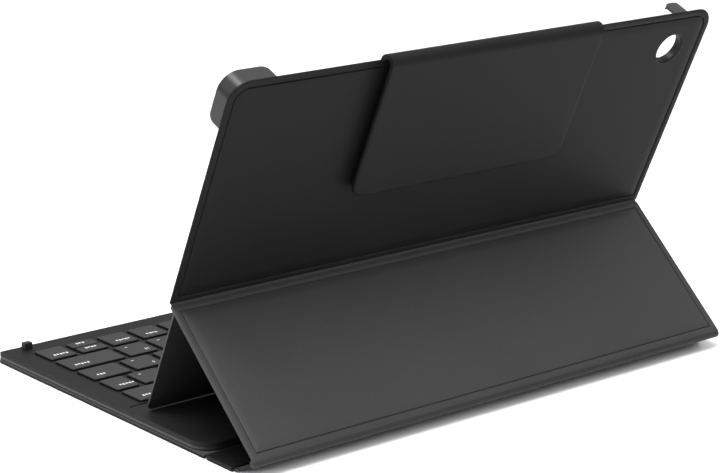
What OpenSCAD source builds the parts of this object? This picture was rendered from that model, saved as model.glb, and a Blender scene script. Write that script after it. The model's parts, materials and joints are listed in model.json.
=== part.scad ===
// Keyboard case for a tablet, standing open: a flat base with a keyboard deck,
// a spine, a stand panel that props up the tablet tray, and a closing flap.
// Origin: middle of the footprint at table level. +Y is the hinge side, +Z is up.
// Lengths along Y are first given from a line near the rolled rear edge.

/* [Case] */
// Width of the base cover
base_w = 257; // [256:0.2:262]
// Width of the stand panel and back cover
cover_w = 256; // [250:0.5:256]
// Distance from the front edge to the rear reference line
case_d = 185.8; // [182:0.1:190]
// Thickness of the soft skin
skin_t = 0.7; // [0.6:0.05:0.8]
// Thickness of the stand panel and back cover
panel_t = 2.4; // [2.3:0.05:2.5]
// Width of the pressed border around each stiffener
border_w = 3.2; // [3:0.1:4]

/* [Stand] */
// Angle of the tray from vertical
tray_tilt = 24.57; // [24.3:0.01:24.8]
// Angle of the stand panel from the table
stand_angle = 42.9; // [42.7:0.05:43.1]
// Distance of the fold in front of the reference line
fold_back = 52.6; // [52.4:0.05:52.8]
// Height of the fold above the table
fold_h = 56.3; // [56.2:0.05:56.6]
// Length of the stand panel from the fold to its rolled edge
stand_len = 71.8; // [71.5:0.05:72]
// Radius of the rolled edge of the stand panel
roll_r = 1.74; // [1.6:0.02:1.8]
// Height of the back cover above the fold
cover_h = 102.8; // [102:0.1:106]

/* [Tablet] */
// Width of the tablet
tablet_w = 244.5; // [242:0.5:244.5]
// Height of the tablet
tablet_h = 154.3; // [153:0.1:154.3]
// Thickness of the tablet
tablet_t = 7.5; // [7:0.1:7.6]
// Distance from the fold down to the tablet's lower edge
tablet_drop = 56.4; // [56:0.1:56.5]
// Radius of the camera window
camera_r = 6.7; // [6:0.1:7]

/* [Flap] */
// Width of the closing flap
flap_w = 112.6; // [100:0.2:118]
// Distance from the fold up to the flap's free edge
flap_low = 41; // [38:0.5:60]
// Thickness of the flap
flap_t = 2; // [2:0.05:2.2]
// Gap between the flap and the back cover
flap_gap = 3.7; // [3.5:0.1:4]

/* [Keyboard] */
// Height of the deck above the table
deck_z = 4.94; // [4.9:0.02:5]
// Distance from the reference line to the rear of the keyboard module
module_gap = 31.2; // [31:0.1:32]
// Pitch of the keys in a row
key_pitch = 16.86; // [16.6:0.01:16.9]
// Pitch of the rows
row_pitch = 16.81; // [16.6:0.01:16.85]
// Gap between two keys
key_gap = 2.7; // [2.5:0.1:3]
// Travel of a key
key_travel = 1; // [0.8:0.1:1]

/* [Hidden] */
$fn = 64;
e = 0.02;

// Soft hinges: a round bead on each fold line, a web behind it, a hollow lip in front
axis_in = 0.7;
bead_r = 0.65;
bead_fit = 0.05;
web_t = 0.8;
hinge_gap = 0.95;
hinge_inset = 1;

// Rolled rear edge, and the middle of the footprint
roll_y = -fold_back + stand_len * cos(stand_angle) - roll_r * sin(stand_angle);
roll_z = fold_h - stand_len * sin(stand_angle) - roll_r * cos(stand_angle);
mid_y = (roll_y + roll_r - case_d) / 2;

// Base cover and keyboard module
base_r = 5.5;
cover_t = 2 * skin_t;
module_rear = -module_gap;
module_front = -case_d + 0.6;
module_w = base_w - 0.8;
module_rear_r = 9;
undercut = 1;
undercut_z = cover_t + 0.5;
floor_z = 2;
part_z = 3;
wall = 1.2;
bevel_d = 3.5;
bevel_h = 1.8;
cavity = [236, -84, -36];
cavity_z = 4.2;

// Switch stack under the keys
plate_t = 0.4;
membrane_t = 0.25;
dome_h = 0.7;
dome_r = 2;
dome_top_r = 1.3;
scissor_side = 9;
scissor_wall = 0.9;
switch_z = floor_z + plate_t + membrane_t;

// Parts in the rear cavity
board_size = [56, 20, 0.8];
board_x = -116;
board_y = -61;
chips = [[8, 6], [26, 5], [42, 7]];
chip_size = [9, 8, 0.8];
cell_size = [66, 24, 2];
cell_x = [-44, 34];
cell_y = -64;
port_y = -48;
port_w = 8.9;
port_h = 2.4;
port_l = 8;
port_wall = 0.3;
tongue = [5, 6, 0.6];
magnet_size = [24, 5, 1];
magnet_x = [-96, -40, 40, 96];
magnet_y = -81;
bumper = [4, 3, 3.26];
bumper_x = 117.4;
bumper_y = -177.2;
bumper_seat = 3.6;

// Rest recess for the tray's lower edge
recess_w = 250.8;
recess_front = -87.3;
recess_rear = -66;
recess_t = 0.3;

// Spine
spine_t = 1.8;
spine_start = module_rear + hinge_gap;
strip_y = -12;
spine_end = strip_y - 1.2;
spine_border = 2;

// Soft strip from the spine up to the rolled edge
strip_rise = atan2(roll_z - axis_in, roll_y - strip_y);
strip_l = norm([roll_z - axis_in, roll_y - strip_y]);
strip_t = 1.2;
strip_start = 0.95;
strip_end_w = 235;

// Keys: one list of widths per row, from the front row and from the left
field_u = 14.207;
arrow_u = 0.944;
space_u = field_u - 4 - 5 * arrow_u;
key_rows = [
  [1, 1, 1, 1, space_u, arrow_u, arrow_u, arrow_u, arrow_u, arrow_u],
  [2.463, for (i = [1:10]) 1, 1.744],
  [1.944, for (i = [1:11]) 1, 1.263],
  [1.389, for (i = [1:12]) 1, 0.818],
  [for (i = [1:13]) 1, 1.207]
];
split_key = 8;
split_gap = 0.8;
key_front = -171.3;
key_r = 1.2;
key_top = 5.95;
key_t = 1.2;
key_clear = 0.4;
grid = 0.02;

// Layers of the panels, from the outer face inwards
board_t = 1.1;
fold_turn = 90 - stand_angle + tray_tilt;
fold_foot = axis_in * tan(fold_turn / 2);
panel_start = 0.3;
flange_w = 1.8;
board_start = 3;
cover_r = 9.4;
board_r = 6;
groove_w = 0.7;
groove_t = 0.35;
stand_board_r = 4;
stand_border = 1.6;
plate_z = panel_t + 0.35;
tray_z = 3.6;
bed_z = 3.8;

// Tablet tray and its clips
fit = 0.1;
bay_w = tablet_w + 3 * fit;
bay_low = -tablet_drop - fit;
bay_high = bay_low + tablet_h + 2 * fit;
bay_front = bed_z + tablet_t + fit;
bay_r = 7;
clip_wall = 1;
clip_r = bay_r + clip_wall;
lip_w = 1.2;
lip_t = 1.1;
clip_front = bay_front + lip_t;
clip_arm = 20.5;
short_arm = 13.5;
clip_end_r = 3;
plate_in = 1.6;
plate_r = clip_r - plate_in;
foot_r = 2.5;
foot_y = bay_low - 1.1;
lower_clip_x = 62;
lower_clip_w = 34;
tray_magnet = [24, 5, 0.6];
tray_magnet_z = tray_z - tray_magnet[2];
camera_x = -108.8;
camera_y = 84.3;
camera_wall = 1;
camera_bevel = 0.7;

// Flap, folded over the top edge onto the back cover
flap_axis_y = 102.05;
flap_axis_z = -flap_gap / 2;
flap_in_r = flap_gap / 2;
flap_out_r = flap_in_r + flap_t;
flap_face = -flap_gap - flap_t;
flap_start = 0.4;
flap_side = 0.3;
flap_r = 6;
flap_border = 2.5;
flap_board_t = 0.7;
flap_board_z = flap_face + skin_t;
flap_magnet = [22, 8];
flap_magnet_x = [-36, 0, 36];

module sheet(w, y0, y1, r0, r1) {
  // Rectangle from y0 to y1 with corner radius r0 at y0 and r1 at y1
  translate([-w / 2, y0 + r0]) square([w, y1 - y0 - r0 - r1]);
  for (end = [[y0, r0, 1], [y1, r1, -1]]) if (end[1] > 0) {
    r = end[1];
    translate([-w / 2 + r, end[2] > 0 ? y0 : y1 - r]) square([w - 2 * r, r]);
    for (x = [r - w / 2, w / 2 - r]) translate([x, end[0] + end[2] * r]) circle(r);
  }
}

module slab(z0, z1) {
  translate([0, 0, z0]) linear_extrude(z1 - z0) children();
}

module rod(w, y, z, r) {
  // Round rod along X
  translate([-w / 2, y, z]) rotate([0, 90, 0]) cylinder(h = w, r = r);
}

module bar(w, y0, y1, z0, z1) {
  // Bar along X
  translate([-w / 2, y0, z0]) cube([w, y1 - y0, z1 - z0]);
}

module on_base() {
  translate([0, -mid_y, 0]) children();
}

module on_tray() {
  // y runs up the back cover from the fold, z from its outer face to the tablet
  on_base() translate([0, -fold_back, fold_h]) rotate([90 - tray_tilt, 0, 0]) children();
}

module on_stand() {
  // y runs up the stand panel to the fold, z from its outer face inwards
  on_base() translate([0, -fold_back, fold_h]) rotate([180 - stand_angle, 0, 0]) children();
}

module on_strip() {
  on_base() translate([0, strip_y, axis_in]) rotate([strip_rise, 0, 0]) children();
}

module base_outline(inset) {
  sheet(base_w - 2 * inset, -case_d + inset, module_rear, base_r - inset, 0);
}

module module_outline(inset) {
  sheet(module_w - 2 * inset, module_front + inset, module_rear - inset,
        base_r - 1 - inset, module_rear_r - inset);
}

module base_skin() color([0.11, 0.11, 0.12]) on_base() slab(0, skin_t) base_outline(0);

module base_lining() color([0.14, 0.14, 0.15]) on_base() slab(skin_t, cover_t) base_outline(0.2);

module port_slot(w, h, l) {
  // Long round slot into the left side of the module
  r = h / 2;
  translate([-module_w / 2 - 1, port_y, (floor_z + part_z + 1.5) / 2]) rotate([0, 90, 0]) {
    for (y = [r - w / 2, w / 2 - r]) translate([0, y, 0]) cylinder(h = l + 1, r = r);
    translate([-r, r - w / 2, 0]) cube([h, w - h, l + 1]);
  }
}

module module_tray() color([0.17, 0.17, 0.18]) on_base() difference() {
  union() {
    slab(cover_t, undercut_z) module_outline(undercut);
    slab(undercut_z, part_z) module_outline(0);
  }
  slab(floor_z, part_z + e) module_outline(wall);
  port_slot(port_w, port_h, port_l);
}

// Left edge, middle and width of a key, with its edges on a fine grid
function key_edge(row, i) = i == 0 ? 0 : key_edge(row, i - 1) + key_rows[row][i - 1];
function key_side(row, i) = grid * round((key_edge(row, i) - field_u / 2) * key_pitch / grid);
function key_x(row, i) = (key_side(row, i) + key_side(row, i + 1)) / 2;
function key_w(row, i) = key_side(row, i + 1) - key_side(row, i) - key_gap;
function key_y(row) = key_front + (row + 0.5) * row_pitch;
key_d = row_pitch - key_gap;
half_d = (key_d - split_gap) / 2;
half_step = (half_d + split_gap) / 2;

// Every key as [x, y, width, depth]
function key_box(row, i) = [key_x(row, i), key_y(row), key_w(row, i), key_d];
function half_box(side) = [key_x(0, split_key), key_y(0) + side * half_step,
                           key_w(0, split_key), half_d];
key_cells = [for (row = [0:len(key_rows) - 1], i = [0:len(key_rows[row]) - 1]) key_box(row, i)];
key_spots = [for (k = [0:len(key_cells) - 1]) if (k != split_key) key_cells[k],
             half_box(-1), half_box(1)];

module key_outline(box, grow) {
  translate([box[0], box[1]])
    sheet(box[2] + 2 * grow, -box[3] / 2 - grow, box[3] / 2 + grow, key_r + grow, key_r + grow);
}

module cap(box) color([0.3, 0.3, 0.31]) on_base()
  slab(key_top - key_t, key_top) key_outline(box, 0);

module caps(row, first, last) {
  for (i = [first:last]) cap(key_box(row, i));
}

module bumper_bars(z0, z1) {
  for (x = [-bumper_x, bumper_x]) translate([x, 0, 0])
    bar(bumper[0], bumper_y - bumper[1] / 2, bumper_y + bumper[1] / 2, z0, z1);
}

module deck_frame() color([0.27, 0.27, 0.28]) on_base() difference() {
  slab(part_z, deck_z) module_outline(0);
  translate([0, module_front + bevel_d, deck_z]) rotate([atan(bevel_h / bevel_d), 0, 0])
    bar(base_w, -3 * bevel_d, 0, 0, deck_z);
  for (box = key_cells) slab(part_z - e, deck_z + e) key_outline(box, key_clear);
  slab(deck_z - recess_t, deck_z + e) sheet(recess_w, recess_front, recess_rear, 1.5, 1.5);
  slab(part_z - e, cavity_z) sheet(cavity[0], cavity[1], cavity[2], 3, 3);
  bumper_bars(bumper_seat, deck_z + e);
  port_slot(port_w, port_h, port_l);
}

module support_plate() color([0.6, 0.6, 0.62]) on_base()
  slab(floor_z, floor_z + plate_t)
    sheet(field_u * key_pitch + 3, key_front - 2, key_front + 5 * row_pitch + 1, 3, 3);

module switch_membrane() color([0.8, 0.85, 0.85]) on_base()
  slab(floor_z + plate_t, switch_z)
    sheet(field_u * key_pitch + 1, key_front - 1, key_front + 5 * row_pitch, 3, 3);

module rubber_domes() color([0.75, 0.75, 0.76]) on_base() for (box = key_spots)
  translate([box[0], box[1], switch_z]) cylinder(h = dome_h, r1 = dome_r, r2 = dome_top_r);

module scissor_supports() color([0.85, 0.85, 0.84]) on_base() for (box = key_spots) {
  d = min(scissor_side, box[3] - 1);
  translate([box[0], box[1], 0]) difference() {
    bar(scissor_side, -d / 2, d / 2, switch_z, switch_z + dome_h);
    bar(scissor_side - 2 * scissor_wall, scissor_wall - d / 2, d / 2 - scissor_wall,
        switch_z - e, switch_z + dome_h + e);
  }
}

module controller_board() color([0.1, 0.35, 0.2]) on_base()
  translate([board_x, board_y, floor_z]) {
    cube(board_size);
    for (at = chips) translate([at[0], at[1], board_size[2]]) cube(chip_size);
  }

module battery_cells() color([0.7, 0.72, 0.76]) on_base()
  for (x = cell_x) translate([x, cell_y, floor_z]) cube(cell_size);

module charge_port() color([0.7, 0.7, 0.72]) on_base() {
  difference() {
    intersection() {
      port_slot(port_w, port_h, port_l);
      bar(module_w - 0.4, -case_d, 0, 0, deck_z);
    }
    port_slot(port_w - 2 * port_wall, port_h - 2 * port_wall, port_l - 1);
  }
  translate([-module_w / 2 + port_l - 1 - tongue[1], port_y - tongue[0] / 2,
             (floor_z + part_z + 1.5 - tongue[2]) / 2])
    cube([tongue[1], tongue[0], tongue[2]]);
}

module rest_magnets() color([0.55, 0.55, 0.58]) on_base()
  for (x = magnet_x) translate([x - magnet_size[0] / 2, magnet_y, cavity_z - magnet_size[2]])
    cube(magnet_size);

module front_bumpers() color([0.04, 0.04, 0.04]) on_base()
  bumper_bars(bumper_seat, deck_z + bumper[2]);

module hinge_bead(w, y, side) {
  // Bead at y with a web on its low or high side
  rod(w - 2 * hinge_inset, y, axis_in, bead_r);
  bar(w - 2 * hinge_inset, side < 0 ? y - hinge_gap : y, side < 0 ? y : y + hinge_gap,
      axis_in - web_t / 2, axis_in + web_t / 2);
}

module spine_hinge() color([0.1, 0.1, 0.1]) on_base() hinge_bead(base_w, spine_start, -1);

module spine_outline(inset) {
  sheet(base_w - 2 * inset, spine_start + hinge_gap + inset, spine_end - inset, 0, 0);
}

module spine_skin() color([0.11, 0.11, 0.12]) on_base() difference() {
  union() {
    slab(0, spine_t) spine_outline(0);
    bar(base_w - 2 * hinge_inset, spine_start, spine_start + hinge_gap,
        axis_in - web_t / 2, axis_in + web_t / 2);
  }
  rod(base_w, spine_start, axis_in, bead_r + bead_fit);
  slab(skin_t, spine_t - 0.4) spine_outline(spine_border);
}

module spine_board() color([0.5, 0.45, 0.4]) on_base()
  slab(skin_t, spine_t - 0.4) spine_outline(spine_border);

module strip_hinge() color([0.1, 0.1, 0.1]) on_base() {
  rod(base_w - 2 * hinge_inset, strip_y, axis_in, bead_r);
  bar(base_w - 2 * hinge_inset, spine_end, strip_y, axis_in - web_t / 2, axis_in + web_t / 2);
}

module rear_strip() color([0.1, 0.1, 0.1]) on_strip() {
  w0 = base_w / 2 - hinge_inset;
  difference() {
    union() {
      slab(-strip_t / 2, strip_t / 2)
        polygon([[-w0, strip_start], [w0, strip_start],
                 [strip_end_w / 2, strip_l], [-strip_end_w / 2, strip_l]]);
      bar(2 * w0, 0, strip_start, -web_t / 2, web_t / 2);
    }
    rod(base_w, 0, 0, bead_r + bead_fit);
    rod(base_w, strip_l, 0, roll_r + bead_fit);
  }
}

module stand_pocket(inset) {
  sheet(cover_w - 2 * border_w - 2 * inset, -stand_len + stand_border + inset,
        -board_start - inset, stand_board_r - inset, stand_board_r - inset);
}

module stand_skin() color([0.16, 0.16, 0.17]) on_stand() difference() {
  union() {
    slab(0, skin_t) sheet(cover_w, -stand_len, -panel_start, 0, 0);
    slab(skin_t, panel_t) sheet(cover_w - 2 * flange_w, -stand_len, -panel_start, 0, 0);
    rod(cover_w, -stand_len, roll_r, roll_r);
    bar(cover_w - 2 * hinge_inset, -panel_start, fold_foot,
        axis_in - web_t / 2, axis_in + web_t / 2);
  }
  rod(cover_w, fold_foot, axis_in, bead_r + bead_fit);
  slab(skin_t, panel_t + 2 * roll_r) stand_pocket(0.4);
  slab(-e, groove_t) difference() {
    stand_pocket(-groove_w / 2);
    stand_pocket(groove_w / 2);
  }
}

module stand_board() color([0.5, 0.45, 0.4]) on_stand()
  slab(skin_t, skin_t + board_t) stand_pocket(0.4);

module stand_lining() color([0.14, 0.14, 0.15]) on_stand()
  slab(skin_t + board_t, panel_t) stand_pocket(0.4);

module fold_hinge() color([0.08, 0.08, 0.08]) on_tray() {
  rod(cover_w - 2 * hinge_inset, -fold_foot, axis_in, bead_r);
  bar(cover_w - 2 * hinge_inset, -fold_foot, panel_start,
      axis_in - web_t / 2, axis_in + web_t / 2);
}

module camera_bore(z1) {
  translate([camera_x, camera_y, -e]) cylinder(h = z1 + 2 * e, r = camera_r + camera_wall);
}

module cover_pocket(inset) {
  sheet(cover_w - 2 * border_w - 2 * inset, board_start + inset,
        cover_h - border_w - inset, board_r - inset, board_r - inset);
}

module cover_skin() color([0.16, 0.16, 0.17]) on_tray() difference() {
  union() {
    slab(0, skin_t) sheet(cover_w, panel_start, cover_h, 0, cover_r);
    slab(skin_t, panel_t)
      sheet(cover_w - 2 * flange_w, panel_start, cover_h - flange_w, 0, cover_r - flange_w);
    bar(flap_w, cover_h - border_w, flap_axis_y, skin_t - e, flap_t);
  }
  slab(skin_t, panel_t + e) cover_pocket(0.4);
  slab(-e, groove_t) difference() {
    cover_pocket(-groove_w / 2);
    cover_pocket(groove_w / 2);
  }
  bar(flap_w + 2 * flap_side, flap_axis_y, cover_h + 1, -e, panel_t + e);
  camera_bore(panel_t);
}

module cover_board() color([0.5, 0.45, 0.4]) on_tray() difference() {
  slab(skin_t, skin_t + board_t) cover_pocket(0.4);
  camera_bore(panel_t);
}

module cover_lining() color([0.14, 0.14, 0.15]) on_tray() difference() {
  union() {
    slab(skin_t + board_t, panel_t) cover_pocket(0.4);
    slab(panel_t, plate_z) intersection() {
      cover_pocket(0.4);
      plate_outline(0.4);
    }
  }
  camera_bore(plate_z);
}

module plate_outline(inset) {
  sheet(bay_w + 2 * clip_wall - 2 * plate_in - 2 * inset, foot_y + inset,
        bay_high + clip_wall - plate_in - inset, foot_r - inset, plate_r - inset);
}

module tray_magnet_bars() {
  for (x = magnet_x) translate([x, 0, 0])
    bar(tray_magnet[0], foot_y + 1.2, foot_y + 1.2 + tray_magnet[1], tray_magnet_z, tray_z);
}

module tray_plate() color([0.2, 0.2, 0.21]) on_tray() difference() {
  slab(plate_z, tray_z) plate_outline(0);
  tray_magnet_bars();
  camera_bore(tray_z);
}

module tray_magnets() color([0.55, 0.55, 0.58]) on_tray() tray_magnet_bars();

module tray_lining() color([0.12, 0.12, 0.13]) on_tray() difference() {
  slab(tray_z, bed_z) intersection() {
    plate_outline(0.5);
    sheet(tablet_w, bay_low + fit, bay_high, 0, 0);
  }
  camera_bore(bed_z);
}

module bay_outline(grow) {
  sheet(bay_w + 2 * grow, bay_low - grow, bay_high + grow, bay_r + grow, bay_r + grow);
}

module end_cut(y0, y1) {
  // Rounds the front corner of a clip's free end, which points towards -X
  difference() {
    translate([-1, y0, clip_front - clip_end_r]) cube([clip_end_r + 1, y1 - y0, clip_end_r + 1]);
    translate([clip_end_r, y0 - 1, clip_front - clip_end_r]) rotate([-90, 0, 0])
      cylinder(h = y1 - y0 + 2, r = clip_end_r);
  }
}

module clip_section(z0, z1, grow) {
  slab(z0, z1) difference() {
    bay_outline(clip_wall);
    bay_outline(grow);
  }
}

module corner_clip(top_arm, side_arm) {
  // Right corner clip
  x0 = bay_w / 2 + clip_wall - top_arm;
  y0 = bay_high + clip_wall - side_arm;
  difference() {
    intersection() {
      union() {
        slab(plate_z, tray_z) difference() {
          bay_outline(clip_wall);
          plate_outline(0);
        }
        clip_section(tray_z, bay_front, 0);
        clip_section(bay_front, clip_front, -lip_w);
      }
      translate([x0, y0, 0]) cube([2 * clip_arm, 2 * clip_arm, clip_front + 1]);
    }
    translate([x0, 0, 0]) end_cut(bay_high - clip_arm / 2, bay_high + 2 * clip_wall);
    translate([0, y0, 0]) mirror([0, 1, 0]) rotate([0, 0, -90])
      end_cut(bay_w / 2 - clip_arm / 2, bay_w / 2 + 2 * clip_wall);
  }
}

module lower_clip() {
  // Right lower clip, hooked over the tablet's lower edge
  difference() {
    translate([lower_clip_x, 0, 0]) {
      bar(lower_clip_w, foot_y, bay_low, tray_z, clip_front);
      bar(lower_clip_w, bay_low, bay_low + lip_w, bay_front, clip_front);
    }
    translate([lower_clip_x - lower_clip_w / 2, 0, 0]) end_cut(foot_y - 1, bay_low + 2 * lip_w);
    translate([lower_clip_x + lower_clip_w / 2, 0, 0]) mirror([1, 0, 0])
      end_cut(foot_y - 1, bay_low + 2 * lip_w);
  }
}

module corner_clip_right() color([0.3, 0.3, 0.31]) on_tray()
  corner_clip(clip_arm, clip_arm);
module corner_clip_left() color([0.3, 0.3, 0.31]) on_tray() mirror([1, 0, 0])
  corner_clip(short_arm, short_arm);
module lower_clip_right() color([0.3, 0.3, 0.31]) on_tray() lower_clip();
module lower_clip_left() color([0.3, 0.3, 0.31]) on_tray() mirror([1, 0, 0]) lower_clip();

module camera_ring() color([0.05, 0.05, 0.05]) on_tray()
  translate([camera_x, camera_y, 0]) difference() {
    cylinder(h = bed_z, r = camera_r + camera_wall);
    translate([0, 0, -1]) cylinder(h = bed_z + 2, r = camera_r);
    translate([0, 0, -e]) cylinder(h = camera_bevel, r1 = camera_r + camera_bevel, r2 = camera_r);
  }

module flap_hinge() color([0.1, 0.1, 0.1]) on_tray() {
  difference() {
    rod(flap_w, flap_axis_y, flap_axis_z, flap_out_r);
    rod(flap_w + 2, flap_axis_y, flap_axis_z, flap_in_r);
    bar(flap_w + 2, flap_axis_y - 2 * flap_out_r, flap_axis_y, 2 * flap_face, -2 * flap_face);
  }
  bar(flap_w, flap_axis_y - flap_start, flap_axis_y, flap_face, -flap_gap);
}

module flap_outline(inset) {
  sheet(flap_w - 2 * inset, flap_low + inset, flap_axis_y - flap_start - inset,
        flap_r - inset, 0);
}

module flap_skin() color([0.16, 0.16, 0.17]) on_tray() difference() {
  slab(flap_face, -flap_gap) flap_outline(0);
  slab(flap_board_z, -flap_gap + e) flap_outline(flap_border);
}

module flap_magnet_bars(grow) {
  for (x = flap_magnet_x) translate([x, 0, 0])
    bar(flap_magnet[0], flap_low + 5, flap_low + 5 + flap_magnet[1],
        flap_board_z - grow, flap_board_z + flap_board_t + grow);
}

module flap_board() color([0.5, 0.45, 0.4]) on_tray() difference() {
  slab(flap_board_z, flap_board_z + flap_board_t) flap_outline(flap_border);
  flap_magnet_bars(e);
}

module flap_magnets() color([0.55, 0.55, 0.58]) on_tray() flap_magnet_bars(0);

module flap_lining() color([0.14, 0.14, 0.15]) on_tray()
  slab(flap_board_z + flap_board_t, -flap_gap) flap_outline(flap_border);

module key_function() caps(0, 0, 0);
module key_control() caps(0, 1, 1);
module key_meta_left() caps(0, 2, 2);
module key_alt_left() caps(0, 3, 3);
module key_space() caps(0, 4, 4);
module key_meta_right() caps(0, 5, 5);
module key_alt_right() caps(0, 6, 6);
module key_left() caps(0, 7, 7);
module key_down() cap(half_box(-1));
module key_up() cap(half_box(1));
module key_right() caps(0, 9, 9);
module key_shift_left() caps(1, 0, 0);
module keys_bottom_letters() caps(1, 1, 10);
module key_shift_right() caps(1, 11, 11);
module key_caps_lock() caps(2, 0, 0);
module keys_home_letters() caps(2, 1, 11);
module key_enter() caps(2, 12, 12);
module key_tab() caps(3, 0, 0);
module keys_top_letters() caps(3, 1, 12);
module key_backslash() caps(3, 13, 13);
module keys_numbers() caps(4, 0, 12);
module key_backspace() caps(4, 13, 13);

base_skin();
base_lining();
module_tray();
deck_frame();
support_plate();
switch_membrane();
rubber_domes();
scissor_supports();
controller_board();
battery_cells();
charge_port();
rest_magnets();
front_bumpers();
spine_hinge();
spine_skin();
spine_board();
strip_hinge();
rear_strip();
stand_skin();
stand_board();
stand_lining();
fold_hinge();
cover_skin();
cover_board();
cover_lining();
tray_plate();
tray_lining();
tray_magnets();
corner_clip_left();
corner_clip_right();
lower_clip_left();
lower_clip_right();
camera_ring();
flap_hinge();
flap_skin();
flap_board();
flap_lining();
flap_magnets();
key_function();
key_control();
key_meta_left();
key_alt_left();
key_space();
key_meta_right();
key_alt_right();
key_left();
key_down();
key_up();
key_right();
key_shift_left();
keys_bottom_letters();
key_shift_right();
key_caps_lock();
keys_home_letters();
key_enter();
key_tab();
keys_top_letters();
key_backslash();
keys_numbers();
key_backspace();
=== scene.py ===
"""Looks for the tablet keyboard case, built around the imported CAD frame."""
import json
import math
import bmesh
import bpy
from mathutils import Matrix, Vector


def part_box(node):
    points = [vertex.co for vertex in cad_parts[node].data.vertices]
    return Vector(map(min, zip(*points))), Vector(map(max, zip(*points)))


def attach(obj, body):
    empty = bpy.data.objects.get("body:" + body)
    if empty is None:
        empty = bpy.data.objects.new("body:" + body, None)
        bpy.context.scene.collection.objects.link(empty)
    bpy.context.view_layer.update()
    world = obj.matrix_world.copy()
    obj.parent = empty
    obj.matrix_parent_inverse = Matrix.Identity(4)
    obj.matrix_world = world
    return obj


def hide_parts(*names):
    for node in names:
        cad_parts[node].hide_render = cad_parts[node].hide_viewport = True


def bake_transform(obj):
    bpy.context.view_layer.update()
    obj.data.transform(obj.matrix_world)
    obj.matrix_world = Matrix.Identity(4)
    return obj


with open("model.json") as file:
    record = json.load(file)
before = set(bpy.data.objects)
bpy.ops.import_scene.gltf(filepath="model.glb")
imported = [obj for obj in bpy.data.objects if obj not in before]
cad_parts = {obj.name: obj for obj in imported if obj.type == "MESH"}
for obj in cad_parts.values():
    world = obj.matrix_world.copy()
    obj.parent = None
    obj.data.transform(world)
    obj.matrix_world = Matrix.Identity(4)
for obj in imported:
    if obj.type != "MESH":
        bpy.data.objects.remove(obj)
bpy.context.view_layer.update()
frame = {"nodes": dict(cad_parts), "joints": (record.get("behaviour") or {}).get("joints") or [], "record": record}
MM = 0.001

# ---------------------------------------------------------------- reference frames
joints = {j["name"]: j for j in frame["joints"]}


TILT = math.radians(24.57)
STAND = math.radians(42.9)


def pivot(name):
    return Vector(joints[name]["pos_m"])


FOLD = pivot("cover_fold")
ROLL = pivot("stand_fold")
STRIP = pivot("strip_fold")
SPINE = pivot("spine_fold")
AXIS_IN = 0.7 * MM
FOOT = AXIS_IN * math.tan((math.pi / 2 - STAND + TILT) / 2)


def tray_matrix():
    """Maps (x, up the cover, inwards) to the row frame; its origin is the fold's outer edge."""
    rot = Matrix.Rotation(math.pi / 2 - TILT, 4, "X")
    base = Matrix.Translation(FOLD) @ rot
    return base @ Matrix.Translation((0, FOOT, -AXIS_IN))


def stand_matrix():
    rot = Matrix.Rotation(math.pi - STAND, 4, "X")
    base = Matrix.Translation(FOLD) @ rot
    return base @ Matrix.Translation((0, -FOOT, -AXIS_IN))


TRAY = tray_matrix()
STANDM = stand_matrix()


# ---------------------------------------------------------------- materials
GRAIN_DEPTH = 0.00006
BRUSH_SCALE = (1, 60, 1)
BRUSH_NOISE = 500


def socket(node, *names):
    for n in names:
        if n in node.inputs:
            return node.inputs[n]
    raise KeyError(names)


def soft_skin(name, dark, light, rough=(0.46, 0.58), grain=2600.0, bump=0.05,
              cloud=14.0, spec=0.4, sheen=0.0):
    """Matte coated skin: fine leather-like grain and a slow tone change."""
    m = bpy.data.materials.new(name)
    m.use_nodes = True
    nt = m.node_tree
    b = nt.nodes["Principled BSDF"]
    co = nt.nodes.new("ShaderNodeTexCoord")
    fine = nt.nodes.new("ShaderNodeTexNoise")
    fine.inputs["Scale"].default_value = grain
    fine.inputs["Detail"].default_value = 3
    cells = nt.nodes.new("ShaderNodeTexVoronoi")
    cells.inputs["Scale"].default_value = grain * 0.62
    slow = nt.nodes.new("ShaderNodeTexNoise")
    slow.inputs["Scale"].default_value = cloud
    slow.inputs["Detail"].default_value = 4
    for t in (fine, cells, slow):
        nt.links.new(co.outputs["Object"], t.inputs["Vector"])
    ramp = nt.nodes.new("ShaderNodeValToRGB")
    ramp.color_ramp.elements[0].position = 0.3
    ramp.color_ramp.elements[1].position = 0.72
    ramp.color_ramp.elements[0].color = (*dark, 1)
    ramp.color_ramp.elements[1].color = (*light, 1)
    nt.links.new(slow.outputs["Fac"], ramp.inputs["Fac"])
    speck = nt.nodes.new("ShaderNodeMix")
    speck.data_type = "RGBA"
    speck.blend_type = "OVERLAY"
    speck.inputs["Factor"].default_value = 0.35
    nt.links.new(ramp.outputs["Color"], speck.inputs["A"])
    nt.links.new(fine.outputs["Fac"], speck.inputs["B"])
    nt.links.new(speck.outputs["Result"], b.inputs["Base Color"])
    rr = nt.nodes.new("ShaderNodeMapRange")
    rr.inputs["To Min"].default_value = rough[0]
    rr.inputs["To Max"].default_value = rough[1]
    nt.links.new(slow.outputs["Fac"], rr.inputs["Value"])
    nt.links.new(rr.outputs["Result"], b.inputs["Roughness"])
    add = nt.nodes.new("ShaderNodeMath")
    add.operation = "ADD"
    nt.links.new(fine.outputs["Fac"], add.inputs[0])
    nt.links.new(cells.outputs["Distance"], add.inputs[1])
    bp = nt.nodes.new("ShaderNodeBump")
    bp.inputs["Strength"].default_value = bump * 3
    bp.inputs["Distance"].default_value = GRAIN_DEPTH
    nt.links.new(add.outputs["Value"], bp.inputs["Height"])
    nt.links.new(bp.outputs["Normal"], b.inputs["Normal"])
    socket(b, "Specular IOR Level").default_value = spec
    if sheen:
        socket(b, "Sheen Weight").default_value = sheen
        socket(b, "Sheen Roughness").default_value = 0.5
    return m


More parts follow.
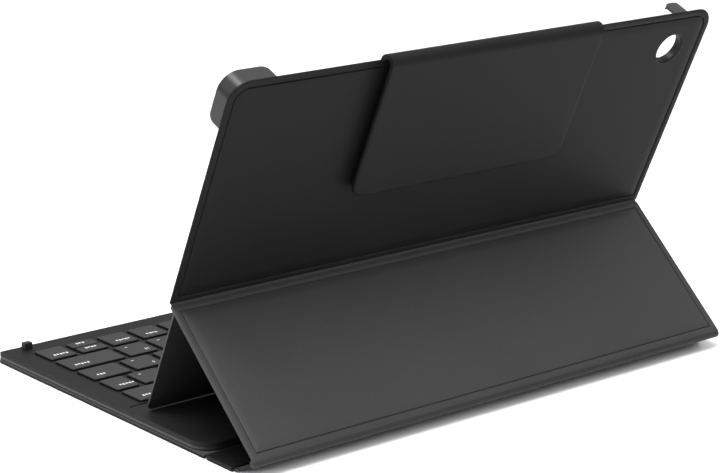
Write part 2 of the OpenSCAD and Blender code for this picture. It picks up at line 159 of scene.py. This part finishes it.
def metal(name, col, rough):
    """Brushed metal: noise drawn out across the brush lines."""
    m = bpy.data.materials.new(name)
    m.use_nodes = True
    nt = m.node_tree
    b = nt.nodes["Principled BSDF"]
    b.inputs["Base Color"].default_value = (*col, 1)
    b.inputs["Metallic"].default_value = 1.0
    co = nt.nodes.new("ShaderNodeTexCoord")
    mp = nt.nodes.new("ShaderNodeMapping")
    mp.inputs["Scale"].default_value = BRUSH_SCALE
    nz = nt.nodes.new("ShaderNodeTexNoise")
    nz.inputs["Scale"].default_value = BRUSH_NOISE
    nt.links.new(co.outputs["Object"], mp.inputs["Vector"])
    nt.links.new(mp.outputs["Vector"], nz.inputs["Vector"])
    rr = nt.nodes.new("ShaderNodeMapRange")
    rr.inputs["To Min"].default_value = rough[0]
    rr.inputs["To Max"].default_value = rough[1]
    nt.links.new(nz.outputs["Fac"], rr.inputs["Value"])
    nt.links.new(rr.outputs["Result"], b.inputs["Roughness"])
    return m


def grey(v):
    return (v, v, v * 1.03)


MAT = {
    # cover and stand are one coated fabric: the stand's copy is painted about five times brighter as painted light
    # for its upward, lit face, and the skin used on the cover is kept darker as painted shade for its downward
    # face
    "skin": soft_skin("cover_skin_mat", grey(0.006), grey(0.008), rough=(0.5, 0.6), spec=0.12),
    "stand": soft_skin("stand_skin_painted_light_mat", grey(0.03), grey(0.035), rough=(0.46, 0.54), spec=0.22),
    "hinge": soft_skin("hinge_skin_mat", grey(0.009), grey(0.012), rough=(0.55, 0.66)),
    "lining": soft_skin("lining_mat", grey(0.012), grey(0.016), rough=(0.8, 0.92), grain=1500,
                        bump=0.12, sheen=0.25, spec=0.2),
    "deck": soft_skin("deck_mat", grey(0.009), grey(0.012), rough=(0.5, 0.58), bump=0.03,
                      spec=0.12),
    "tray": soft_skin("tray_mat", grey(0.014), grey(0.018), rough=(0.4, 0.5), bump=0.03),
    "key": soft_skin("key_mat", grey(0.022), grey(0.026), rough=(0.46, 0.54), bump=0.03, spec=0.25),
    # key side walls: near-black painted shade standing in for the shadowed sides and gaps of the keys
    "key_side": soft_skin("key_side_mat", grey(0.004), grey(0.006), rough=(0.6, 0.7), spec=0.1),
    "clip": soft_skin("clip_mat", grey(0.013), grey(0.017), rough=(0.28, 0.36), bump=0.015,
                      spec=0.36),
    "rubber": soft_skin("rubber_mat", grey(0.008), grey(0.011), rough=(0.5, 0.62)),
    "gloss": soft_skin("ring_mat", grey(0.006), grey(0.008), rough=(0.4, 0.48), bump=0.004,
                       spec=0.2),
    "board": soft_skin("board_mat", (0.30, 0.25, 0.18), (0.38, 0.32, 0.24), rough=(0.8, 0.9),
                       grain=900, bump=0.1),
    "white": soft_skin("white_mat", grey(0.55), grey(0.62), rough=(0.4, 0.5), bump=0.02),
    "film": soft_skin("film_mat", (0.5, 0.56, 0.56), (0.56, 0.62, 0.62), rough=(0.2, 0.3),
                      bump=0.01),
    "circuit": soft_skin("circuit_mat", (0.01, 0.08, 0.03), (0.015, 0.12, 0.05),
                         rough=(0.25, 0.35), bump=0.02),
    "cell": metal("cell_mat", (0.6, 0.62, 0.66), (0.3, 0.45)),
    "steel": metal("steel_mat", (0.5, 0.5, 0.52), (0.25, 0.4)),
    "legend": soft_skin("legend_mat", grey(0.5), grey(0.56), rough=(0.5, 0.6), bump=0.01),
}
SLOT_MAT = {
    "skin": "skin", "lining": "lining", "hinge": "hinge", "board": "board", "deck": "deck",
    "key": "key", "tray": "tray", "clip": "clip", "rubber": "rubber", "steel": "steel",
    "film": "film", "white": "white", "circuit": "circuit", "cell": "cell",
    "magnet": "steel", "gloss": "gloss",
}
for part in frame["record"]["subparts"]:
    ob = frame["nodes"][part["node"]]
    which = SLOT_MAT[part["material_slot"]]
    # the stand panel gets the brighter copy of the skin: painted light
    if part["node"] == "stand_skin":
        which = "stand"
    ob.data.materials.clear()
    ob.data.materials.append(MAT[which])


# ---------------------------------------------------------------- mesh helpers
def make(name, verts, faces, mat, matrix=None, smooth=True):
    me = bpy.data.meshes.new(name)
    me.from_pydata([tuple(v) for v in verts], [], faces)
    me.validate()
    bm = bmesh.new()
    bm.from_mesh(me)
    bmesh.ops.remove_doubles(bm, verts=bm.verts, dist=1e-7)
    bmesh.ops.recalc_face_normals(bm, faces=bm.faces)
    bm.to_mesh(me)
    bm.free()
    ob = bpy.data.objects.new(name, me)
    bpy.context.scene.collection.objects.link(ob)
    if matrix is not None:
        ob.data.transform(matrix)
    me.materials.append(MAT[mat])
    if smooth:
        for p in me.polygons:
            p.use_smooth = True
    return ob


def arc(cx, cy, r, a0, a1, n):
    return [(cx + r * math.cos(a0 + (a1 - a0) * i / n), cy + r * math.sin(a0 + (a1 - a0) * i / n))
            for i in range(n + 1)]


def rounded_loop(x0, x1, y0, y1, radii, n=8):
    """Closed outline, counter-clockwise from the lower right corner."""
    rbr, rtr, rtl, rbl = radii
    pts = []
    for cx, cy, r, a in ((x1 - rbr, y0 + rbr, rbr, -90), (x1 - rtr, y1 - rtr, rtr, 0),
                         (x0 + rtl, y1 - rtl, rtl, 90), (x0 + rbl, y0 + rbl, rbl, 180)):
        a0 = math.radians(a)
        pts += arc(cx, cy, r, a0, a0 + math.pi / 2, n) if r > 1e-7 else [(cx, cy)]
    return pts


def inset_radii(radii, d):
    return [max(r - d, 0.25 * MM) if r > 1e-7 else 0.25 * MM for r in radii]


def layered(name, mat, loops, matrix=None, cap=(True, True)):
    """Lofts closed loops of equal length, each a list of 3-D points, and caps the ends."""
    n = len(loops[0])
    verts = [p for loop in loops for p in loop]
    faces = []
    for k in range(len(loops) - 1):
        for i in range(n):
            j = (i + 1) % n
            faces.append((k * n + i, k * n + j, (k + 1) * n + j, (k + 1) * n + i))
    if cap[0]:
        faces.append(tuple(reversed(range(n))))
    if cap[1]:
        faces.append(tuple(range((len(loops) - 1) * n, len(loops) * n)))
    return make(name, verts, faces, mat, matrix)


def sharp(ob, angle=35):
    """Shades smooth, with edges sharper than angle kept sharp."""
    with bpy.context.temp_override(object=ob, active_object=ob, selected_objects=[ob],
                                   selected_editable_objects=[ob]):
        bpy.ops.object.shade_smooth_by_angle(angle=math.radians(angle))
    return ob


def key_cap(lo, hi, z0, z1, r=1.2 * MM, dish=0.12 * MM):
    """Key cap with drafted sides, a rounded rim and a shallow dished top, as loops."""
    def loop(d, z):
        return [(x, y, z) for x, y in rounded_loop(lo[0] + d, hi[0] - d, lo[1] + d, hi[1] - d,
                                                    inset_radii([r] * 4, d), 6)]
    h = z1 - z0
    steps = [(0.0, z0), (0.02, z0 + 0.45 * h), (0.10, z0 + 0.80 * h), (0.20, z0 + 0.93 * h),
             (0.38, z0 + 0.985 * h), (0.62, z1), (1.5, z1 - 0.35 * dish), (3.0, z1 - dish)]
    lim = min(hi[0] - lo[0], hi[1] - lo[1]) / 2 - 0.6 * MM
    return [loop(min(d * MM, lim), z) for d, z in steps]


def island_boxes(node):
    """Box of each connected piece of a CAD node."""
    bm = bmesh.new()
    bm.from_mesh(frame["nodes"][node].data)
    bmesh.ops.remove_doubles(bm, verts=bm.verts, dist=1e-6)
    seen, out = set(), []
    for v in bm.verts:
        if v in seen:
            continue
        stack, pts = [v], []
        seen.add(v)
        while stack:
            a = stack.pop()
            pts.append(a.co.copy())
            for e in a.link_edges:
                o = e.other_vert(a)
                if o not in seen:
                    seen.add(o)
                    stack.append(o)
        out.append((Vector(min(p[i] for p in pts) for i in range(3)),
                    Vector(max(p[i] for p in pts) for i in range(3))))
    bm.free()
    return sorted(out, key=lambda b: (round(b[0].x, 4), b[0].y))


# ---------------------------------------------------------------- keys
# Generic marks: short strokes that stand for printed legends, never letters.
def stroke_marks(lo, hi, seed, wide):
    """Small bars and dashes on a key's top, as (x, y, w, h) in metres."""
    count = 3 + seed % 3
    x, y = lo.x + 2.6 * MM, hi.y - 4.9 * MM
    out = []
    if wide:
        x = hi.x - 3.4 * MM - count * 1.5 * MM
        for i in range(count):
            out.append((x + i * 1.5 * MM, y, 1.0 * MM, (1.1 + 0.4 * ((seed + i) % 2)) * MM))
    else:
        kind = seed % 4
        if kind == 0:
            out += [(x, y, 0.35 * MM, 2.1 * MM), (x, y, 1.5 * MM, 0.35 * MM)]
        elif kind == 1:
            out += [(x, y, 1.5 * MM, 0.35 * MM), (x, y + 1.7 * MM, 1.5 * MM, 0.35 * MM)]
        elif kind == 2:
            out += [(x, y, 0.35 * MM, 2.1 * MM), (x + 1.2 * MM, y, 0.35 * MM, 2.1 * MM)]
        else:
            out += [(x, y + 0.9 * MM, 1.5 * MM, 0.35 * MM), (x + 0.6 * MM, y, 0.35 * MM, 2.1 * MM)]
        out.append((hi.x - 5.0 * MM, lo.y + 3.4 * MM, 1.3 * MM, 0.4 * MM))
    return out


key_nodes = [s["node"] for s in frame["record"]["subparts"] if s["node"].startswith("key")]
seed = 0
for node in key_nodes:
    verts, faces, mverts, mfaces = [], [], [], []
    for lo, hi in island_boxes(node):
        loops = key_cap(lo, hi, lo.z, hi.z)
        base, n = len(verts), len(loops[0])
        verts += [p for loop in loops for p in loop]
        for k in range(len(loops) - 1):
            for i in range(n):
                j = (i + 1) % n
                faces.append((base + k * n + i, base + k * n + j,
                              base + (k + 1) * n + j, base + (k + 1) * n + i))
        faces.append(tuple(base + i for i in reversed(range(n))))
        faces.append(tuple(base + (len(loops) - 1) * n + i for i in range(n)))
        seed += 1
        if node != "key_space":
            for x, y, w, h in stroke_marks(lo, hi, seed, not node.startswith("keys")):
                if y < lo.y + 1 * MM:
                    y = lo.y + 2 * MM
                    h = min(h, 1.6 * MM)
                z = hi.z + 0.002 * MM
                b0 = len(mverts)
                t = 0.03 * MM
                for dz in (-0.25 * MM, t):
                    mverts += [(x, y, z + dz), (x + w, y, z + dz), (x + w, y + h, z + dz),
                               (x, y + h, z + dz)]
                mfaces += [(b0, b0 + 3, b0 + 2, b0 + 1), (b0 + 4, b0 + 5, b0 + 6, b0 + 7)]
                mfaces += [(b0 + i, b0 + (i + 1) % 4, b0 + 4 + (i + 1) % 4, b0 + 4 + i)
                           for i in range(4)]
    caps = make(node + "_caps", verts, faces, "key")
    sharp(caps, 50)
    caps.data.materials.append(MAT["key_side"])
    # steep side faces get the near-black material: painted shade on the keys' walls
    for p in caps.data.polygons:
        if abs(p.normal.z) < 0.45:
            p.material_index = 1
    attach(caps, node + "_cap")
    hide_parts(node)
    if mverts:
        marks = make(node + "_marks", mverts, mfaces, "legend", smooth=False)
        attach(marks, node + "_cap")

# ---------------------------------------------------------------- soft edges on CAD nodes
def soften(node, width, segments=3, angle=30):
    """Rounds a CAD node's sharp edges with modifiers only."""
    ob = frame["nodes"][node]
    weld = ob.modifiers.new("weld", "WELD")
    weld.merge_threshold = 1e-6
    bev = ob.modifiers.new("bevel", "BEVEL")
    bev.width = width * MM
    bev.segments = segments
    bev.limit_method = "ANGLE"
    bev.angle_limit = math.radians(angle)
    bev.harden_normals = True
    bev.miter_outer = "MITER_ARC"
    nrm = ob.modifiers.new("normals", "WEIGHTED_NORMAL")
    nrm.keep_sharp = True


for node, width in (("base_skin", 0.25), ("base_lining", 0.2), ("module_tray", 0.2),
                    ("deck_frame", 0.3), ("front_bumpers", 0.35), ("spine_skin", 0.3),
                    ("corner_clip_left", 0.33), ("corner_clip_right", 0.33),
                    ("lower_clip_left", 0.33), ("lower_clip_right", 0.33),
                    ("tray_plate", 0.25), ("charge_port", 0.1),
                    ("rear_strip", 0.3)):
    soften(node, width)


# ---------------------------------------------------------------- panels
def cut(ob, cutter):
    """Boolean difference, applied."""
    mod = ob.modifiers.new("cut", "BOOLEAN")
    mod.operation = "DIFFERENCE"
    mod.solver = "EXACT"
    mod.object = cutter
    dg = bpy.context.evaluated_depsgraph_get()
    me = bpy.data.meshes.new_from_object(ob.evaluated_get(dg))
    ob.modifiers.remove(mod)
    old = ob.data
    ob.data = me
    bpy.data.meshes.remove(old)
    bpy.data.objects.remove(cutter)


def panel_loops(x0, x1, y0, y1, radii, steps, n=8):
    return [[(x, y, z * MM) for x, y in
             rounded_loop(x0 + d * MM, x1 - d * MM, y0 + d * MM, y1 - d * MM,
                          inset_radii(radii, d * MM), n)] for d, z in steps]


# (inset, depth) of a panel's rim: inner side, thin welded edge, pressed groove, face
RIM = [(1.95, 2.4), (1.82, 2.3), (1.8, 1.1), (1.72, 0.8), (1.5, 0.7), (0.2, 0.66), (0.04, 0.56),
       (0.0, 0.4), (0.0, 0.24), (0.05, 0.1), (0.2, 0.0), (2.8, 0.0), (2.95, 0.08), (3.05, 0.48),
       (3.16, 0.55), (3.36, 0.55), (3.46, 0.48), (3.58, 0.08), (3.75, 0.0), (8.0, 0.0)]

cover_lo, cover_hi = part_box("cover_skin")
half_w = (cover_hi.x - cover_lo.x) / 2
COVER_H = 102.8 * MM
cover = layered("cover_shell", "skin",
                panel_loops(-half_w, half_w, 0.3 * MM, COVER_H,
                            (0.6 * MM, 9.4 * MM, 9.4 * MM, 0.6 * MM), RIM, 12))
flap_half = 56.3 * MM
ring_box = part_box("camera_ring")
CAMERA = Vector(((ring_box[0].x + ring_box[1].x) / 2, 84.3 * MM, 0))


def prism(name, loop, z0, z1, mat="skin"):
    return layered(name, mat, [[(x, y, z) for x, y in loop] for z in (z0, z1)])


cut(cover, prism("cutter", arc(CAMERA.x, CAMERA.y, 7.72 * MM, 0, 2 * math.pi, 64)[:-1],
                 -2 * MM, 4 * MM))
FLARE = 2.6 * MM
notch = [(-flap_half - FLARE - 0.3 * MM, COVER_H + 1 * MM)]
NOTCH_Y = 102.05 * MM
notch += [(-flap_half - 0.3 * MM, NOTCH_Y), (flap_half + 0.3 * MM, NOTCH_Y),
          (flap_half + FLARE + 0.3 * MM, COVER_H + 1 * MM)]
cut(cover, prism("cutter", notch, -2 * MM, 4 * MM))
cover.data.transform(TRAY)
sharp(cover, 40)
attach(cover, "cover")
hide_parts("cover_skin")

STAND_L = 71.8 * MM
stand = layered("stand_shell", "stand",
                panel_loops(-half_w, half_w, -STAND_L, -0.3 * MM,
                            (0.6 * MM, 1.2 * MM, 1.2 * MM, 0.6 * MM), RIM, 6))
stand.data.transform(STANDM)
sharp(stand, 40)
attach(stand, "stand")
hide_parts("stand_skin")

ROLL_R = 1.74 * MM


def tube(name, mat, half, cy, cz, r, steps=28):
    """Round bar along X with domed ends."""
    loops = []
    for d, k in ((0, 0.55), (0.12, 0.8), (0.4, 0.94), (0.9, 1.0)):
        loops.append((-half + d * MM, k))
    loops += [(-x, k) for x, k in reversed(loops)]
    return layered(name, mat, [[(x, cy + k * r * math.cos(a), cz + k * r * math.sin(a))
                                for a in [2 * math.pi * i / steps for i in range(steps)]]
                               for x, k in loops])


rolled = tube("stand_rolled_edge", "hinge", half_w - 0.1 * MM, -STAND_L, ROLL_R, ROLL_R - 0.01 * MM)
rolled.data.transform(STANDM)
sharp(rolled, 50)
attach(rolled, "stand")


# rubber lip along the tray's foot, which meets the deck
FOOT_Y = -57.6 * MM
LIP_HALF, LIP_STEPS = 119 * MM, 12
# (along the tray, inwards) around the lip's section, from the foot, in mm
LIP_SECTION = ((0.5, 2.85), (-0.1, 2.85), (-0.3, 3.0), (-0.3, 3.2), (-0.1, 3.35), (0.5, 3.35))
lip = layered("tray_foot_lip", "rubber", [
    [(x, FOOT_Y + y * MM, z * MM) for y, z in LIP_SECTION]
    for x in [LIP_HALF * (2 * i / LIP_STEPS - 1) for i in range(LIP_STEPS + 1)]], TRAY)
sharp(lip, 50)
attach(lip, "cover")


# ---------------------------------------------------------------- soft folds
def ribbon(name, mat, half0, half1, path, thick, nx=24):
    """Closed strip of skin along X that follows a path of (y, z) in the row frame."""
    top, n = [], len(path)
    for i in range(n):
        a, b = path[max(i - 1, 0)], path[min(i + 1, n - 1)]
        t = (Vector(b) - Vector(a)).normalized()
        top.append((Vector(path[i]), Vector((-t.y, t.x))))
    outline = [p + q * thick / 2 for p, q in top] + [p - q * thick / 2 for p, q in reversed(top)]
    loops = []
    for k in range(nx + 1):
        f = 2 * k / nx - 1
        loop = []
        for i, p in enumerate(outline):
            u = (i if i < n else 2 * n - 1 - i) / (n - 1)
            loop.append((f * (half0 + (half1 - half0) * u), p.x, p.y))
        loops.append(loop)
    return layered(name, mat, loops)


def bezier(a, c, b, n=14):
    return [tuple((1 - t) ** 2 * Vector(a) + 2 * t * (1 - t) * Vector(c) + t * t * Vector(b))
            for t in [i / n for i in range(n + 1)]]


def yz(v):
    return (v.y, v.z)


# valley between stand and cover
a = yz(STANDM @ Vector((0, -1.3 * MM, 0.32 * MM)))
c = yz(TRAY @ Vector((0, 0, 0.45 * MM)))
b = yz(TRAY @ Vector((0, 1.3 * MM, 0.32 * MM)))
valley = ribbon("fold_skin", "hinge", half_w - 0.7 * MM, half_w - 0.7 * MM,
                bezier(a, c, b), 0.5 * MM)
sharp(valley, 60)
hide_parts("fold_hinge")
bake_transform(valley)

# creases at both sides of the spine
strip_dir = (ROLL - STRIP).normalized()
for name, node, body_a, body_b, at, out in (
        ("spine_crease_skin", "spine_hinge", "base", "spine", SPINE, Vector((0, 1, 0))),
        ("strip_crease_skin", "strip_hinge", "spine", "strip", STRIP, strip_dir)):
    a = at + Vector((0, -1.7 * MM, -0.1 * MM))
    b = at + out * 1.7 * MM + Vector((0, -out.z, out.y)) * -0.1 * MM
    piece = ribbon(name, "hinge", 127.6 * MM, 127.6 * MM, bezier(yz(a), yz(at), yz(b)), 0.9 * MM)
    sharp(piece, 60)
    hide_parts(node)
    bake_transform(piece)

# ---------------------------------------------------------------- flap
FLAP_GAP_HALF, FLAP_T = 1.85 * MM, 2.0 * MM
AX_Y, AX_Z = 102.05 * MM, -FLAP_GAP_HALF
FLAP = [(0.35, -3.7), (0.12, -3.78), (0.0, -4.0), (0.0, -4.9), (0.05, -5.2), (0.2, -5.45),
        (0.45, -5.62), (0.8, -5.68), (1.6, -5.7), (6.0, -5.7)]
FLAP_LOW = 41 * MM


def flap_section():
    """Flap outline with square upper corners, as loops."""
    out = []
    for d, z in FLAP:
        d, z = d * MM, z * MM
        pts = []
        r = max(6 * MM - d, 0.4 * MM)
        x = flap_half - d
        y0 = FLAP_LOW + d
        y1 = AX_Y - 0.4 * MM
        pts += [(x, y1)] + arc(x - r, y0 + r, r, 0, -math.pi / 2, 10)
        pts += arc(-x + r, y0 + r, r, -math.pi / 2, -math.pi, 10) + [(-x, y1)]
        out.append([(px, py, z) for px, py in pts])
    return out


flap = layered("flap_shell", "skin", flap_section(), TRAY)
sharp(flap, 40)
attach(flap, "flap")
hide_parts("flap_skin")

# soft roll over the top edge: from inside the cover's notch round to the flap
n = 36
R_MID = FLAP_GAP_HALF + FLAP_T / 2
path = [(AX_Y - 3.0 * MM, AX_Z + R_MID), (AX_Y - 1.5 * MM, AX_Z + R_MID)]
path += [(AX_Y + R_MID * math.sin(t), AX_Z + R_MID * math.cos(t))
         for t in [math.pi * i / n for i in range(n + 1)]]
path += [(AX_Y - 0.9 * MM, AX_Z - R_MID)]
pts = [yz(TRAY @ Vector((0, y, z))) for y, z in path]
crest = ribbon("flap_roll", "skin", flap_half - 0.02 * MM, flap_half - 0.02 * MM, pts, 1.98 * MM, 30)
sharp(crest, 50)
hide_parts("flap_hinge")
a = TRAY @ Vector((0, AX_Y, AX_Z + R_MID * 0.9))
b = TRAY @ Vector((0, AX_Y, AX_Z - R_MID * 0.9))
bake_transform(crest)

# ---------------------------------------------------------------- stage, light, camera
CAM = Vector((0.6169, 0.750324, 0.3193))
AZIMUTH, ELEVATION = 140.591, 15.330
LENS, SENSOR = 116.79, 36
FLOOR_HALF, FLOOR_DROP, FLOOR_WHITE = 6, 0.0002, 0.93
HORIZON, SKY_TOP, SKY_STRENGTH = 0.16, 0.9, 1.25
LIGHTS = (
    # name, place, target, size, watts
    ("key_light", (0.3, 0.16, 1.25), (0, 0.06, 0.03), (0.9, 0.45), 17),
    ("back_light", (0.5, 1.2, 0.9), (0, 0, 0.05), (1.0, 0.6), 5),
    ("side_light", (1.3, -0.2, 0.6), (0, 0, 0.05), (0.8, 0.6), 3),
)
cam_data = bpy.data.cameras.new("camera")
cam = bpy.data.objects.new("camera", cam_data)
bpy.context.scene.collection.objects.link(cam)
az, el = math.radians(AZIMUTH), math.radians(ELEVATION)
cam.location = CAM
view_dir = -Vector((math.sin(az) * math.cos(el), -math.cos(az) * math.cos(el), math.sin(el)))
cam.rotation_mode = "QUATERNION"
cam.rotation_quaternion = view_dir.to_track_quat("-Z", "Y")
cam_data.lens = LENS
cam_data.sensor_width = SENSOR
cam_data.clip_start = 0.01
cam_data.clip_end = 30
bpy.context.scene.camera = cam

bm = bmesh.new()
bmesh.ops.create_grid(bm, x_segments=8, y_segments=8, size=FLOOR_HALF)
me = bpy.data.meshes.new("floor")
bm.to_mesh(me)
bm.free()
floor = bpy.data.objects.new("floor", me)
bpy.context.scene.collection.objects.link(floor)
floor.location.z = -FLOOR_DROP
fm = bpy.data.materials.new("floor_mat")
fm.use_nodes = True
fb = fm.node_tree.nodes["Principled BSDF"]
fb.inputs["Base Color"].default_value = (FLOOR_WHITE, FLOOR_WHITE, FLOOR_WHITE, 1)
fb.inputs["Roughness"].default_value = 0.9
me.materials.append(fm)

world = bpy.data.worlds.new("world")
bpy.context.scene.world = world
world.use_nodes = True
wt = world.node_tree
bg = wt.nodes["Background"]
wc = wt.nodes.new("ShaderNodeTexCoord")
ws = wt.nodes.new("ShaderNodeSeparateXYZ")
wr = wt.nodes.new("ShaderNodeValToRGB")
wr.color_ramp.elements[0].position = 0.0
wr.color_ramp.elements[0].color = (HORIZON, HORIZON, HORIZON, 1)
wr.color_ramp.elements[1].position = SKY_TOP
wr.color_ramp.elements[1].color = (1, 1, 1, 1)
wt.links.new(wc.outputs["Generated"], ws.inputs["Vector"])
wt.links.new(ws.outputs["Z"], wr.inputs["Fac"])
wt.links.new(wr.outputs["Color"], bg.inputs["Color"])
bg.inputs["Strength"].default_value = SKY_STRENGTH


def area(name, loc, target, size, power):
    d = bpy.data.lights.new(name, "AREA")
    d.shape = "RECTANGLE"
    d.size, d.size_y = size
    d.energy = power
    o = bpy.data.objects.new(name, d)
    bpy.context.scene.collection.objects.link(o)
    o.location = loc
    o.rotation_mode = "QUATERNION"
    o.rotation_quaternion = (Vector(target) - Vector(loc)).to_track_quat("-Z", "Y")


for light in LIGHTS:
    area(*light)
bpy.context.scene.view_settings.view_transform = "Standard"
bpy.context.scene.view_settings.look = "None"
bpy.context.scene.view_settings.exposure = 0.0
